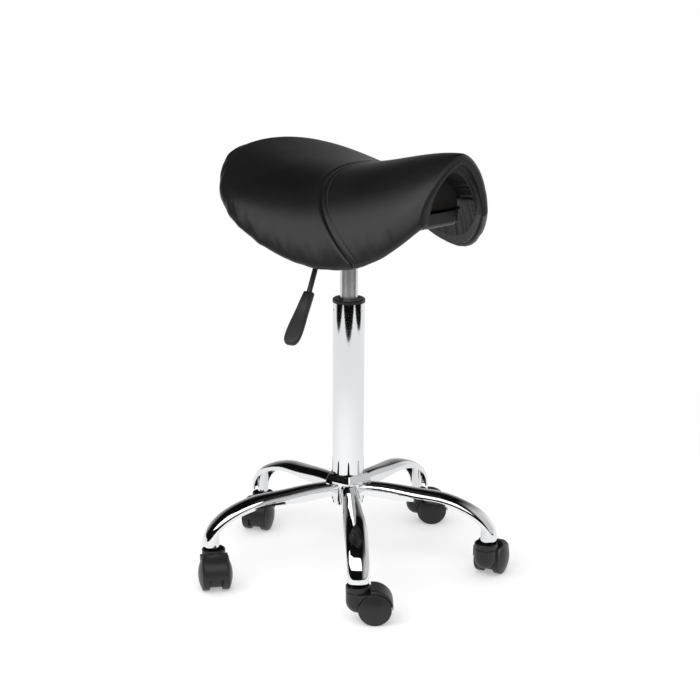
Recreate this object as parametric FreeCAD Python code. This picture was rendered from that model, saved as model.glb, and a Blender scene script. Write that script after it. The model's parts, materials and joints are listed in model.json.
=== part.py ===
"""Saddle stool: an upholstered saddle seat on a gas lift, a five-arm chromed base and twin-wheel casters.

Lengths are millimetres. The origin is on the floor under the column's axis, +Z is up, and the rider
faces -Y, so their right hand is at -X. Each node is written to parts/NODE.step in its rest place.
"""

import FreeCAD, Part
import math
import os
from FreeCAD import Vector

os.makedirs("parts", exist_ok=True)

# Casters
wheel_diameter = 50.0
wheel_width = 11.7
wheel_dome = 5.2
axle_diameter = 6.0
caster_trail = 25.0
caster_web_width = 18.0
wheel_side_gap = 0.8
hood_gap = 0.8
hood_wall = 1.6
hood_shoulder = 6.0
boss_diameter = 36.0
boss_bottom_z = 14.0
boss_waist_z = 34.0
collar_diameter = 36.5
collar_height = 8.0
collar_lip = 2.0
collar_recess = 5.0
swivel_gap = 0.4
kingpin_diameter = 8.0
stem_diameter = 11.0
stem_length = 34.0
# Directions in which the casters trail at rest, counted from +X, arm by arm
caster_trail_angles = [-44.5, 18.5, -44.5, -152.0, -124.5]

# Star base
arm_count = 5
first_arm_angle = -130.5
stem_circle_radius = 225.0
socket_bottom_z = 57.0
socket_diameter = 18.0
arm_wall = 2.0
arm_root_top_z = 142.0
arm_root_slope_drop = 5.0
arm_tip_z = 64.0
arm_tip_beyond_stem = 17.0
arm_bend_reach = 132.0
arm_root_width = 27.0
arm_bend_width = 36.0
arm_tip_width = 31.0
arm_root_depth = 20.5
arm_tip_depth = 12.5
arm_crown_ratio = 2.2
hub_diameter = 52.0
hub_bottom_z = 112.0
cap_circle_radius = 38.0
cap_top_circle_radius = 32.0
cap_rim_height = 3.0
cap_height = 14.0

# Gas lift
column_diameter = 50.0
column_wall = 1.5
column_bottom_z = 106.0
column_top_z = 439.0
column_taper_length = 54.0
column_taper = 0.7
column_floor = 3.0
rim_bulge = 0.5
rim_height = 6.0
crimp_radius = 4.0
crimp_depth = 0.8
crimp_below_rim = 10.0
crimp_angles = [-82.5, 37.5, 157.5]
cylinder_diameter = 28.0
cylinder_wall = 2.0
bush_length = 92.0
running_gap = 0.05
piston_rod_diameter = 10.0
lift_stroke = 200.0
taper_length = 40.0
taper_reduction = 1.0
cylinder_top_z = 580.0
bearing_ball_diameter = 4.0
bearing_ball_count = 12
bearing_race_thickness = 2.0
bumper_height = 12.0
valve_block_height = 12.0
button_diameter = 10.0
button_height = 4.0
button_travel = 5.0

# Seat plate, a pressed pan with a bolting ear along each side
pan_floor_z = 574.0
pan_height = 22.0
pan_sheet = 2.5
pan_half_width = 54.0
pan_front = 185.0
pan_rear = 75.0
pan_corner_radius = 22.0
pan_bend_radius = 7.0
pan_ear = 12.0
pan_ear_setback = 12.0
taper_socket_diameter = 36.0
taper_socket_above_floor = 5.5
seat_bolt_diameter = 6.0
seat_bolt_from_end = 28.0
board_thickness = 12.0
board_margin = 6.0
board_end_setback = 18.0
tee_nut_flange_diameter = 18.0
tee_nut_barrel_diameter = 8.0
tee_nut_sheet = 1.2

# Height lever
lever_angle = 198.0
lever_rod_diameter = 8.0
lever_pivot_reach = 42.0
lever_pin_diameter = 4.0
lever_bracket_thickness = 8.0
lever_bracket_width = 22.0
lever_bend_reach = 58.6
lever_tail = 5.0
lever_bend_radius = 14.0
lever_drop_angle = 59.0
lever_drop_length = 137.2
lever_grip_turn = 11.0
grip_insert = 40.0
grip_length = 88.0
grip_width = 27.0
grip_thickness = 10.0

# Saddle seat: its plan, its lower edge and its crown line, seen along the length (forward is -Y)
seat_front = 230.0
seat_rear = 177.0
seat_half_width = 179.0
seat_widest_at = -55.0
seat_nose_half_width = 34.0
rear_plan_power = 2.2
front_plan_power = 1.32
flap_low_z = 518.0
flap_low_at = 91.0
nose_edge_z = 611.0
cantle_edge_z = 667.0
nose_edge_power = 2.4
cantle_edge_power = 1.86
saddle_low_z = 652.0
saddle_low_at = -8.0
pommel_z = 687.0
cantle_z = 671.0
pommel_lead = 1.07
cantle_power = 1.84
front_arch_power = 1.71
rear_arch_power = 2.14
edge_roll = 7.0
cover_thickness = 1.4
foam_middle = 34.0
foam_edge = 14.0
shell_thickness = 7.0
shell_edge_setback = 16.0
seam_crown_at = 22.0
seam_slope = 0.92

wheel_radius = wheel_diameter / 2
hood_inner_radius = wheel_radius + hood_gap
hood_outer_radius = hood_inner_radius + hood_wall
caster_half_width = caster_web_width / 2 + wheel_side_gap + wheel_width
housing_top_z = socket_bottom_z - collar_height - swivel_gap
column_radius = column_diameter / 2
cylinder_radius = cylinder_diameter / 2
rod_radius = piston_rod_diameter / 2
bearing_z = column_bottom_z + column_floor
bumper_z = bearing_z + 2 * bearing_race_thickness + bearing_ball_diameter
cylinder_bottom_z = bumper_z + bumper_height + 0.3
cylinder_bore_radius = cylinder_radius - cylinder_wall
rod_guide_height = 18.0
piston_height = 15.0
piston_z = cylinder_bottom_z + lift_stroke + rod_guide_height + 4.0
button_top_z = cylinder_top_z + button_height
lever_z = button_top_z + lever_rod_diameter / 2
pan_top_z = pan_floor_z + pan_height
board_top_z = pan_top_z + board_thickness


def save(name, solids):
    """Write one node: a single solid, or a group of separate ones."""
    solids = solids if isinstance(solids, list) else [solids]
    pieces = [solid for shape in solids for solid in shape.Solids]
    shape = pieces[0] if len(pieces) == 1 else Part.makeCompound(pieces)
    shape.exportStep("parts/" + name + ".step")


def post(radius, bottom, top, x=0.0, y=0.0):
    """An upright cylinder between two heights."""
    return Part.makeCylinder(radius, top - bottom, Vector(x, y, bottom))


def sleeve(outer, inner, bottom, top):
    """An upright tube."""
    return post(outer, bottom, top).cut(post(inner, bottom - 1, top + 1))


def turned(points):
    """A solid turned about the column's axis from (radius, height) points."""
    corners = [Vector(r, 0, z) for r, z in points]
    face = Part.Face(Part.makePolygon(corners + corners[:1]))
    return face.revolve(Vector(0, 0, 0), Vector(0, 0, 1), 360)


def rounded_slab(x_half, y_low, y_high, bottom, top, radius):
    """A flat block with upright edges rounded, symmetric about the middle plane."""
    block = Part.makeBox(2 * x_half, y_high - y_low, top - bottom, Vector(-x_half, y_low, bottom))
    upright = [e for e in block.Edges if abs(e.tangentAt(e.FirstParameter).z) > 0.9]
    return block.makeFillet(radius, upright)


def turn_z(shape, angle, x=0.0, y=0.0):
    """A copy turned about the column's axis and then moved in the plan."""
    copy = shape.copy()
    copy.rotate(Vector(0, 0, 0), Vector(0, 0, 1), angle)
    copy.translate(Vector(x, y, 0))
    return copy


def arm_angle(index):
    return first_arm_angle + index * 360.0 / arm_count


def stem_place(index):
    angle = math.radians(arm_angle(index))
    return stem_circle_radius * math.cos(angle), stem_circle_radius * math.sin(angle)


# Star base arms: a tube at the hub that opens into an inverted channel over the caster socket.
def arm_crest(turn):
    """Point and outward normal on the arm's crest line. turn runs 0 at the bend's start to 90 at the tip."""
    tip_reach = stem_circle_radius + arm_tip_beyond_stem
    bend_height = arm_root_top_z - arm_root_slope_drop - arm_tip_z
    angle = math.radians(turn)
    reach = tip_reach - arm_bend_reach * (1 - math.sin(angle))
    height = arm_tip_z + bend_height * math.cos(angle)
    normal = Vector(bend_height * math.sin(angle), 0, arm_bend_reach * math.cos(angle)).normalize()
    return Vector(reach, 0, height), normal


def arm_section(crest, normal, half, depth, corner, crown_radius):
    """An inverted U across the arm, closed along its lower side, its crown and corners in tangent arcs."""
    side = Vector(0, 1, 0)
    corner_across = half - corner
    corner_down = crown_radius - math.sqrt((crown_radius - corner) ** 2 - corner_across ** 2)
    lean_across = corner_across / (crown_radius - corner)
    lean_down = (corner_down - crown_radius) / (crown_radius - corner)
    middle = Vector(1 + lean_across, lean_down, 0).normalize()

    def at(across, down):
        return crest + side * across - normal * down

    arcs = []
    for sign in (-1, 1):
        arcs.append((at(sign * half, corner_down),
                     at(sign * (corner_across + corner * middle.x), corner_down + corner * middle.y),
                     at(sign * crown_radius * lean_across, crown_radius * (1 + lean_down))))
    left, right = arcs
    edges = [
        Part.LineSegment(at(-half, depth), left[0]),
        Part.Arc(left[0], left[1], left[2]),
        Part.Arc(left[2], at(0, 0), right[2]),
        Part.Arc(right[2], right[1], right[0]),
        Part.LineSegment(right[0], at(half, depth)),
        Part.LineSegment(at(half, depth), at(-half, depth)),
    ]
    return Part.Wire([edge.toShape() for edge in edges])


def blend(start, end, share):
    return start + (end - start) * share


def arm_stations():
    """Crest point, normal, width, depth and openness below for each station, hub to tip."""
    bend_start, normal = arm_crest(0)
    hub_radius = hub_diameter / 2
    stations = []
    for share in (0.0, 0.35, 0.7):
        reach = blend(hub_radius - 4, bend_start.x, share)
        height = arm_root_top_z - arm_root_slope_drop * share ** 2
        stations.append((Vector(reach, 0, height), Vector(0, 0, 1),
                         blend(arm_root_width, arm_bend_width, 0.6 * share ** 2), arm_root_depth, False))
    for turn in (0, 18, 36, 54, 72, 90):
        crest, normal = arm_crest(turn)
        share = turn / 90.0
        width = arm_bend_width - 3.6 * (1 - share) ** 4
        width = blend(width, arm_tip_width, max(0.0, share * 2 - 1))
        depth = blend(arm_tip_depth, 0.83 * arm_root_depth, (1 - share) ** 3)
        stations.append((crest, normal, width, depth, True))
    return stations


def base_arm():
    """One arm pointing along +X, with its cavity open below from the bend outwards."""
    outer, inner = [], []
    for crest, normal, width, depth, is_open in arm_stations():
        half = width / 2
        corner = min(0.78 * half, 0.66 * depth)
        crown_radius = arm_crown_ratio * half
        outer.append(arm_section(crest, normal, half, depth, corner, crown_radius))
        inner_depth = depth + 4 if is_open else depth - 2 * arm_wall
        inner.append(arm_section(crest - normal * arm_wall, normal, half - arm_wall, inner_depth,
                                 corner - arm_wall, crown_radius - arm_wall))
    body = Part.makeLoft(outer, True, False)
    arm = body.cut(Part.makeLoft(inner, True, False))
    hub = post(hub_diameter / 2, hub_bottom_z - 60, arm_root_top_z + 60)
    pieces = sorted(arm.cut(hub).Solids, key=lambda s: s.Volume)
    return pieces[-1]


def caster_socket(arm):
    """The upright tube welded under the arm's crest, trimmed to it, with the stem's bore."""
    x = stem_circle_radius
    tube = post(socket_diameter / 2, socket_bottom_z, arm_root_top_z, x, 0)
    below = sorted(tube.cut(arm).Solids, key=lambda s: s.BoundBox.ZMin)[0]
    bore = post(stem_diameter / 2, socket_bottom_z - 1, socket_bottom_z + stem_length, x, 0)
    return below.cut(bore)


def hub_cap():
    """A five-sided bevelled cap over the arm roots, its corners pointing along the arms."""
    def pentagon(radius, z):
        corners = []
        for index in range(arm_count):
            angle = math.radians(arm_angle(index))
            corners.append(Vector(radius * math.cos(angle), radius * math.sin(angle), z))
        return Part.makePolygon(corners + corners[:1])

    rim = Part.Face(pentagon(cap_circle_radius, arm_root_top_z)).extrude(Vector(0, 0, cap_rim_height))
    rim_z = arm_root_top_z + cap_rim_height
    top_z = arm_root_top_z + cap_height
    bevel = Part.makeLoft([pentagon(cap_circle_radius, rim_z), pentagon(cap_top_circle_radius, top_z)], True, True)
    cap = rim.fuse(bevel).removeSplitter()
    corner_edges = [e for e in cap.Edges if abs(e.tangentAt(e.FirstParameter).z) > 0.3]
    cap = cap.makeFillet(2.0, corner_edges)
    return cap.cut(post(column_radius, arm_root_top_z - 1, top_z + 1))


def column_profile_radius(z):
    """Outer radius of the column at a height: it tapers in towards its foot."""
    share = max(0.0, 1 - (z - column_bottom_z) / column_taper_length)
    return column_radius - column_taper * share


def make_base():
    arm = base_arm()
    socket = caster_socket(arm)
    for index in range(arm_count):
        save("base_arm_%d" % (index + 1), turn_z(arm, arm_angle(index)))
    save("caster_sockets", [turn_z(socket, arm_angle(index)) for index in range(arm_count)])

    foot = column_profile_radius(hub_bottom_z)
    hub_top = arm_root_top_z
    save("hub_tube", turned([(foot, hub_bottom_z), (hub_diameter / 2, hub_bottom_z),
                             (hub_diameter / 2, hub_top), (column_profile_radius(hub_top), hub_top)]))
    save("hub_cap", hub_cap())


# Casters
def caster_stem_set():
    """Stem with its kingpin below, the split grip ring on it, and the collar that hides the bearing."""
    stem_top = socket_bottom_z + stem_length
    ring_low = socket_bottom_z + 0.55 * stem_length
    ring_high = ring_low + 6.0
    neck = stem_diameter / 2 - 1.0
    radius = stem_diameter / 2
    kingpin = kingpin_diameter / 2
    collar_bottom = socket_bottom_z - collar_height
    pin_bottom = wheel_radius + axle_diameter / 2 + 2.5
    stem = turned([(0, pin_bottom), (kingpin, pin_bottom), (kingpin, collar_bottom), (radius, collar_bottom),
                   (radius, ring_low), (neck, ring_low), (neck, ring_high), (radius, ring_high),
                   (radius, stem_top - 2), (radius - 2, stem_top), (0, stem_top)])
    slot = Part.makeBox(stem_diameter, 2.0, 8.0, Vector(0, -1.0, ring_low - 1))
    ring = sleeve(radius, neck, ring_low, ring_high).cut(slot)
    rim = collar_diameter / 2
    hub = socket_diameter / 2
    recess_floor = socket_bottom_z - collar_recess
    collar = turned([(radius, collar_bottom), (rim, collar_bottom), (rim, socket_bottom_z - 1),
                     (rim - 0.8, socket_bottom_z), (rim - collar_lip, socket_bottom_z),
                     (rim - collar_lip, recess_floor), (hub, recess_floor), (hub, socket_bottom_z),
                     (radius, socket_bottom_z)])
    return stem, ring, collar


def caster_housing():
    """Round boss on the kingpin and a hood over the wheels, trailing along +X."""
    boss_radius = boss_diameter / 2
    top = housing_top_z
    low = boss_bottom_z
    waist = boss_waist_z
    slope = math.sqrt(0.5)
    bottom_arc = Part.Arc(Vector(0, 0, low),
                          Vector(boss_radius * slope, 0, waist - (waist - low) * slope),
                          Vector(boss_radius, 0, waist))
    profile = Part.Wire([
        bottom_arc.toShape(),
        Part.makeLine(Vector(boss_radius, 0, waist), Vector(boss_radius, 0, top - 1.5)),
        Part.makeLine(Vector(boss_radius, 0, top - 1.5), Vector(boss_radius - 1.5, 0, top)),
        Part.makeLine(Vector(boss_radius - 1.5, 0, top), Vector(0, 0, top)),
        Part.makeLine(Vector(0, 0, top), Vector(0, 0, low)),
    ])
    boss = Part.Face(profile).revolve(Vector(0, 0, 0), Vector(0, 0, 1), 360)

    axle_x, axle_z = caster_trail, wheel_radius
    hood_start = Vector(collar_diameter / 2 + 0.8, 0, socket_bottom_z - 1.5)
    hood_end = Vector(axle_x + hood_outer_radius, 0, axle_z)
    hood_bulge = Vector(axle_x + 0.62 * hood_outer_radius, 0, axle_z + 0.86 * hood_outer_radius)
    web_radius = wheel_radius - 4.0
    outline = Part.Wire([
        Part.Arc(hood_start, hood_bulge, hood_end).toShape(),
        Part.makeLine(hood_end, Vector(axle_x + web_radius, 0, axle_z)),
        Part.Arc(Vector(axle_x + web_radius, 0, axle_z), Vector(axle_x, 0, axle_z - web_radius),
                 Vector(axle_x - web_radius, 0, axle_z)).toShape(),
        Part.makeLine(Vector(axle_x - web_radius, 0, axle_z), Vector(0, 0, axle_z)),
        Part.makeLine(Vector(0, 0, axle_z), Vector(0, 0, top)),
        Part.makeLine(Vector(0, 0, top), Vector(hood_start.x, 0, top)),
        Part.makeLine(Vector(hood_start.x, 0, top), hood_start),
    ])
    width = 2 * caster_half_width
    hood = Part.Face(outline).extrude(Vector(0, width, 0))
    hood.translate(Vector(0, -width / 2, 0))
    crest_edges = [e for e in hood.Edges
                   if e.Curve.TypeId == "Part::GeomCircle" and abs(e.CenterOfMass.y) > 1
                   and e.CenterOfMass.z > axle_z]
    hood = hood.makeFillet(hood_shoulder, crest_edges)

    housing = boss.fuse(hood)
    well_floor = caster_web_width / 2
    for side in (-1, 1):
        well = Part.makeCylinder(hood_inner_radius, width, Vector(axle_x, side * well_floor, axle_z),
                                 Vector(0, side, 0))
        housing = housing.cut(well)
    below = Part.makeBox(3 * width, 2 * width, 60, Vector(axle_x + web_radius, -width, axle_z - 60))
    housing = housing.cut(below)
    kingpin_bore = post(kingpin_diameter / 2 + running_gap, axle_z + axle_diameter / 2 + 2.0, top + 1)
    axle_hole = Part.makeCylinder(axle_diameter / 2, width, Vector(axle_x, -width / 2, axle_z), Vector(0, 1, 0))
    return housing.cut(kingpin_bore).cut(axle_hole).removeSplitter()


def caster_axle():
    half = caster_half_width - 3.0
    return Part.makeCylinder(axle_diameter / 2, 2 * half, Vector(caster_trail, -half, wheel_radius), Vector(0, 1, 0))


def caster_wheel(side):
    """A solid nylon wheel with a domed plain face outside, and a hollow back round its hub."""
    inner = caster_web_width / 2 + wheel_side_gap
    outer = inner + wheel_width
    bore = axle_diameter / 2 + running_gap
    axle_end = caster_half_width - 3.0 + 0.3
    dome_rim = wheel_radius - 2.5
    dome_radius = (dome_rim ** 2 + wheel_dome ** 2) / (2 * wheel_dome)
    dome_middle = outer + wheel_dome - dome_radius + math.sqrt(dome_radius ** 2 - (dome_rim / 2) ** 2)
    profile = Part.Wire([
        Part.makeLine(Vector(bore, 0, inner), Vector(8, 0, inner)),
        Part.makeLine(Vector(8, 0, inner), Vector(8.5, 0, inner + 6)),
        Part.makeLine(Vector(8.5, 0, inner + 6), Vector(20, 0, inner + 6)),
        Part.makeLine(Vector(20, 0, inner + 6), Vector(20.5, 0, inner)),
        Part.makeLine(Vector(20.5, 0, inner), Vector(wheel_radius - 1.5, 0, inner)),
        Part.Arc(Vector(wheel_radius - 1.5, 0, inner), Vector(wheel_radius - 0.44, 0, inner + 0.44),
                 Vector(wheel_radius, 0, inner + 1.5)).toShape(),
        Part.makeLine(Vector(wheel_radius, 0, inner + 1.5), Vector(wheel_radius, 0, outer - 2.5)),
        Part.Arc(Vector(wheel_radius, 0, outer - 2.5), Vector(wheel_radius - 0.75, 0, outer - 0.75),
                 Vector(dome_rim, 0, outer)).toShape(),
        Part.Arc(Vector(dome_rim, 0, outer), Vector(dome_rim / 2, 0, dome_middle),
                 Vector(0, 0, outer + wheel_dome)).toShape(),
        Part.makeLine(Vector(0, 0, outer + wheel_dome), Vector(0, 0, axle_end)),
        Part.makeLine(Vector(0, 0, axle_end), Vector(bore, 0, axle_end)),
        Part.makeLine(Vector(bore, 0, axle_end), Vector(bore, 0, inner)),
    ])
    wheel = Part.Face(profile).revolve(Vector(0, 0, 0), Vector(0, 0, 1), 360)
    wheel.Placement = FreeCAD.Placement(Vector(caster_trail, 0, wheel_radius),
                                        FreeCAD.Rotation(Vector(0, 0, 1), Vector(0, side, 0)))
    return wheel


def make_casters():
    stem, ring, collar = caster_stem_set()
    housing = caster_housing()
    axle = caster_axle()
    wheels = {"left": caster_wheel(1), "right": caster_wheel(-1)}
    stems, rings, collars = [], [], []
    for index in range(arm_count):
        x, y = stem_place(index)
        angle = arm_angle(index)
        stems.append(turn_z(stem, angle, x, y))
        rings.append(turn_z(ring, angle, x, y))
        collars.append(turn_z(collar, angle, x, y))
        trail = caster_trail_angles[index]
        number = index + 1
        save("caster_housing_%d" % number, turn_z(housing, trail, x, y))
        save("caster_axle_%d" % number, turn_z(axle, trail, x, y))
        for side, wheel in wheels.items():
            save("caster_wheel_%s_%d" % (side, number), turn_z(wheel, trail, x, y))
    save("caster_stems", stems)
    save("caster_grip_rings", rings)
    save("caster_collars", collars)


# Gas lift
def make_column():
    bore = column_radius - column_wall
    foot = column_profile_radius(column_bottom_z)
    taper_end = column_bottom_z + column_taper_length
    floor_top = column_bottom_z + column_floor
    lip = column_top_z - rim_height
    rim = column_radius + rim_bulge
    hole = rod_radius + 3.0
    tube = turned([
        (hole, column_bottom_z), (foot, column_bottom_z), (column_radius, taper_end),
        (column_radius, lip), (bore, lip), (bore, taper_end), (foot - column_wall, floor_top),
        (hole, floor_top)])
    for angle in crimp_angles:
        turn = math.radians(angle)
        reach = column_radius + crimp_radius - crimp_depth
        centre = Vector(reach * math.cos(turn), reach * math.sin(turn), lip - crimp_below_rim)
        tube = tube.cut(Part.makeSphere(crimp_radius, centre))
    save("column_tube", tube)
    bush_bore = cylinder_radius + running_gap
    bush_bottom = column_top_z - bush_length
    save("column_bush", turned([
        (bush_bore, bush_bottom), (bore - 1.2, bush_bottom), (bore, bush_bottom + 4), (bore, lip),
        (rim, lip), (rim, column_top_z - 1.5), (rim - 1.5, column_top_z), (bush_bore + 4, column_top_z),
        (bush_bore, column_top_z - 2)]))

    race_outer = 14.0
    race_inner = rod_radius + 0.1
    lower_top = bearing_z + bearing_race_thickness
    upper_bottom = lower_top + bearing_ball_diameter
    ball_circle = (race_outer + race_inner) / 2
    save("bearing_race_lower", sleeve(race_outer, race_inner + 0.4, bearing_z, lower_top - 0.02))
    save("bearing_race_upper", sleeve(race_outer, race_inner, upper_bottom, upper_bottom + bearing_race_thickness))
    balls = []
    for index in range(bearing_ball_count):
        angle = 2 * math.pi * index / bearing_ball_count
        centre = Vector(ball_circle * math.cos(angle), ball_circle * math.sin(angle),
                        (lower_top + upper_bottom) / 2)
        balls.append(Part.makeSphere(bearing_ball_diameter / 2, centre))
    save("bearing_balls", balls)
    save("bumper", turned([(race_inner, bumper_z), (race_outer - 1, bumper_z), (race_outer - 2, bumper_z + 4),
                           (race_outer - 1, bumper_z + bumper_height), (race_inner, bumper_z + bumper_height)]))

    clip_top = column_bottom_z - 0.5
    clip_bottom = clip_top - 2.0
    groove = rod_radius - 1.0
    rod_foot = clip_bottom - 3.0
    rod_head = piston_z + piston_height
    save("piston_rod", turned([
        (0, rod_foot), (rod_radius - 1, rod_foot), (rod_radius, rod_foot + 1), (rod_radius, clip_bottom),
        (groove, clip_bottom), (groove, clip_top), (rod_radius, clip_top), (rod_radius, piston_z),
        (rod_radius - 1.5, piston_z), (rod_radius - 1.5, rod_head + 3), (0, rod_head + 3)]))
    save("piston", sleeve(9.0 - running_gap, rod_radius - 1.5, piston_z, rod_head))
    save("rod_washer", sleeve(11.0, rod_radius + 0.1, clip_top, column_bottom_z - 0.05))
    clip = sleeve(9.0, groove, clip_bottom, clip_top)
    save("rod_clip", clip.cut(Part.makeBox(12, 5, 4, Vector(0, -2.5, clip_bottom - 1))))


def taper_radius(z):
    """Outer radius of the cylinder's tapered head at a height."""
    return cylinder_radius - taper_reduction * (z - cylinder_top_z + taper_length) / taper_length


def make_cylinder():
    bore = cylinder_bore_radius
    taper_start = cylinder_top_z - taper_length
    head_bore = bore - taper_reduction
    head_floor = cylinder_top_z - 5.0
    button_hole = button_diameter / 2 + running_gap
    save("gas_cylinder", turned([
        (bore, cylinder_bottom_z), (cylinder_radius, cylinder_bottom_z), (cylinder_radius, taper_start),
        (taper_radius(cylinder_top_z), cylinder_top_z), (button_hole, cylinder_top_z),
        (button_hole, head_floor), (head_bore, head_floor), (head_bore, taper_start), (bore, taper_start - 2)]))
    guide_top = cylinder_bottom_z + rod_guide_height
    save("rod_guide", sleeve(bore, rod_radius + running_gap, cylinder_bottom_z + 1, guide_top))
    valve_top = cylinder_top_z - 16.0
    valve_bottom = valve_top - valve_block_height
    save("pressure_tube", sleeve(10.0, 9.0, guide_top, valve_bottom))
    valve = turned([(0, valve_bottom), (head_bore, valve_bottom), (head_bore, valve_top - 2),
                    (head_bore - 2, valve_top), (2, valve_top), (2, valve_bottom + 4), (0, valve_bottom + 4)])
    save("valve_block", valve)
    button_bottom = valve_top + button_travel + 1.0
    radius = button_diameter / 2
    save("release_button", turned([(0, button_bottom), (radius, button_bottom), (radius, button_top_z - 1.5),
                                   (radius - 1.5, button_top_z), (0, button_top_z)]))


# Seat plate
def bolt_places():
    """Plan places of the four seat bolts, on the ears along the pan's sides."""
    x = pan_half_width + pan_ear / 2
    front = -(pan_front - seat_bolt_from_end)
    rear = pan_rear - seat_bolt_from_end
    return [(sign * x, y) for sign in (-1, 1) for y in (front, rear)]


def make_seat_plate():
    outer = rounded_slab(pan_half_width, -pan_front, pan_rear, pan_floor_z, pan_top_z, pan_corner_radius)
    floor_edges = [e for e in outer.Edges if e.BoundBox.ZMax < pan_floor_z + 0.01]
    outer = outer.makeFillet(pan_bend_radius, floor_edges)
    inner_radius = pan_corner_radius - pan_sheet
    inner = rounded_slab(pan_half_width - pan_sheet, -pan_front + pan_sheet, pan_rear - pan_sheet,
                         pan_floor_z + pan_sheet, pan_top_z + 5, inner_radius)
    bend_edges = [e for e in inner.Edges if e.BoundBox.ZMax < pan_floor_z + pan_sheet + 0.01]
    inner = inner.makeFillet(pan_bend_radius - pan_sheet, bend_edges)
    ears = rounded_slab(pan_half_width + pan_ear, -pan_front + pan_ear_setback, pan_rear - pan_ear_setback,
                        pan_top_z - pan_sheet, pan_top_z, pan_ear)
    pan = outer.fuse(ears).cut(inner)
    socket_top = pan_floor_z + taper_socket_above_floor
    socket_bottom = cylinder_top_z - taper_length + 2.0
    pan = pan.cut(post(taper_socket_diameter / 2, pan_floor_z - 5, pan_floor_z + pan_bend_radius + 5))
    for x, y in bolt_places():
        pan = pan.cut(post(seat_bolt_diameter / 2 + 0.3, pan_floor_z, pan_top_z + 1, x, y))
    slot_width = lever_rod_diameter + 5
    slot_foot = pan_floor_z + 6.0
    slot = Part.makeBox(40, slot_width, pan_top_z - pan_sheet - slot_foot,
                        Vector(lever_pivot_reach - 10, -slot_width / 2, slot_foot))
    pan = pan.cut(turn_z(slot, lever_angle))
    save("seat_plate", pan.removeSplitter())
    save("taper_socket", turned([
        (taper_radius(socket_bottom), socket_bottom), (taper_socket_diameter / 2 - 1, socket_bottom),
        (taper_socket_diameter / 2, socket_bottom + 1), (taper_socket_diameter / 2, socket_top),
        (taper_radius(socket_top), socket_top)]))
    bracket = lever_bracket()
    save("lever_bracket", bracket)


def lever_bracket():
    """A block upright on the pan's floor beside the socket, with room for the rod and a bore for its cross pin."""
    foot = pan_floor_z + pan_sheet
    inner = lever_pivot_reach - lever_bracket_thickness / 2
    width = lever_bracket_width
    top = lever_z + lever_rod_diameter / 2 + 3.0
    block = Part.makeBox(lever_bracket_thickness, width, top - foot, Vector(inner, -width / 2, foot))
    rod_bore = Part.makeCylinder(lever_rod_diameter / 2 + 0.6, lever_bracket_thickness + 2,
                                 Vector(inner - 1, 0, lever_z), Vector(1, 0, 0))
    pin_bore = Part.makeCylinder(lever_pin_diameter / 2 + 0.3, width + 2,
                                 Vector(lever_pivot_reach, -width / 2 - 1, lever_z), Vector(0, 1, 0))
    return turn_z(block.cut(rod_bore).cut(pin_bore), lever_angle)


def board_slab(bottom, top, grow):
    """The mounting board's outline between two heights, grown all round."""
    half = pan_half_width + pan_ear + board_margin
    return rounded_slab(half + grow, -pan_front + board_end_setback - grow, pan_rear - board_end_setback + grow,
                        bottom, top, pan_corner_radius + grow)


def make_board():
    board = board_slab(pan_top_z, board_top_z, 0.0)
    bolts, nuts = [], []
    shank = seat_bolt_diameter / 2
    barrel = tee_nut_barrel_diameter / 2
    flange = tee_nut_flange_diameter / 2
    head_bottom = pan_top_z - pan_sheet - 3.5
    barrel_bottom = board_top_z - 9.0
    for x, y in bolt_places():
        head = post(seat_bolt_diameter * 0.95, head_bottom, pan_top_z - pan_sheet, x, y)
        bolts.append(head.fuse(post(shank, pan_top_z - pan_sheet, board_top_z - 1, x, y)))
        nut = post(barrel, barrel_bottom, board_top_z - tee_nut_sheet, x, y)
        nut = nut.fuse(post(flange, board_top_z - tee_nut_sheet, board_top_z, x, y))
        nuts.append(nut.cut(post(shank, barrel_bottom - 1, board_top_z + 1, x, y)))
        board = board.cut(post(shank + 0.3, pan_top_z - 1, barrel_bottom, x, y))
        board = board.cut(post(barrel, barrel_bottom, board_top_z + 1, x, y))
        board = board.cut(post(flange, board_top_z - tee_nut_sheet, board_top_z + 1, x, y))
    save("mounting_board", board)
    save("seat_bolts", bolts)
    save("tee_nuts", nuts)


# Height lever, drawn along +X and turned to its place
def lever_path():
    """Corners of the bent rod: over the button, out through the pan, down, and into the grip."""
    drop = math.radians(lever_drop_angle)
    grip = drop - math.radians(lever_grip_turn)
    corner = Vector(lever_bend_reach, 0, lever_z)
    knee = corner + Vector(math.cos(drop), 0, -math.sin(drop)) * lever_drop_length
    end = knee + Vector(math.cos(grip), 0, -math.sin(grip)) * grip_insert
    return [Vector(-lever_tail, 0, lever_z), corner, knee, end]


def bent_rod(points, radii, rod_radius_mm):
    """A round rod along straight runs joined by tangent arcs, one radius per inner corner."""
    edges = []
    start = points[0]
    for index, radius in enumerate(radii):
        corner = points[index + 1]
        before = (corner - points[index]).normalize()
        after = (points[index + 2] - corner).normalize()
        turn = before.getAngle(after)
        tangent = radius * math.tan(turn / 2)
        arc_start = corner - before * tangent
        arc_end = corner + after * tangent
        inward = (after - before).normalize()
        middle = corner + inward * (radius / math.cos(turn / 2) - radius)
        edges.append(Part.makeLine(start, arc_start))
        edges.append(Part.Arc(arc_start, middle, arc_end).toShape())
        start = arc_end
    edges.append(Part.makeLine(start, points[-1]))
    path = Part.Wire(edges)
    ring = Part.Wire([Part.makeCircle(rod_radius_mm, points[0], points[1] - points[0])])
    return path.makePipeShell([ring], True, False)


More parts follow.
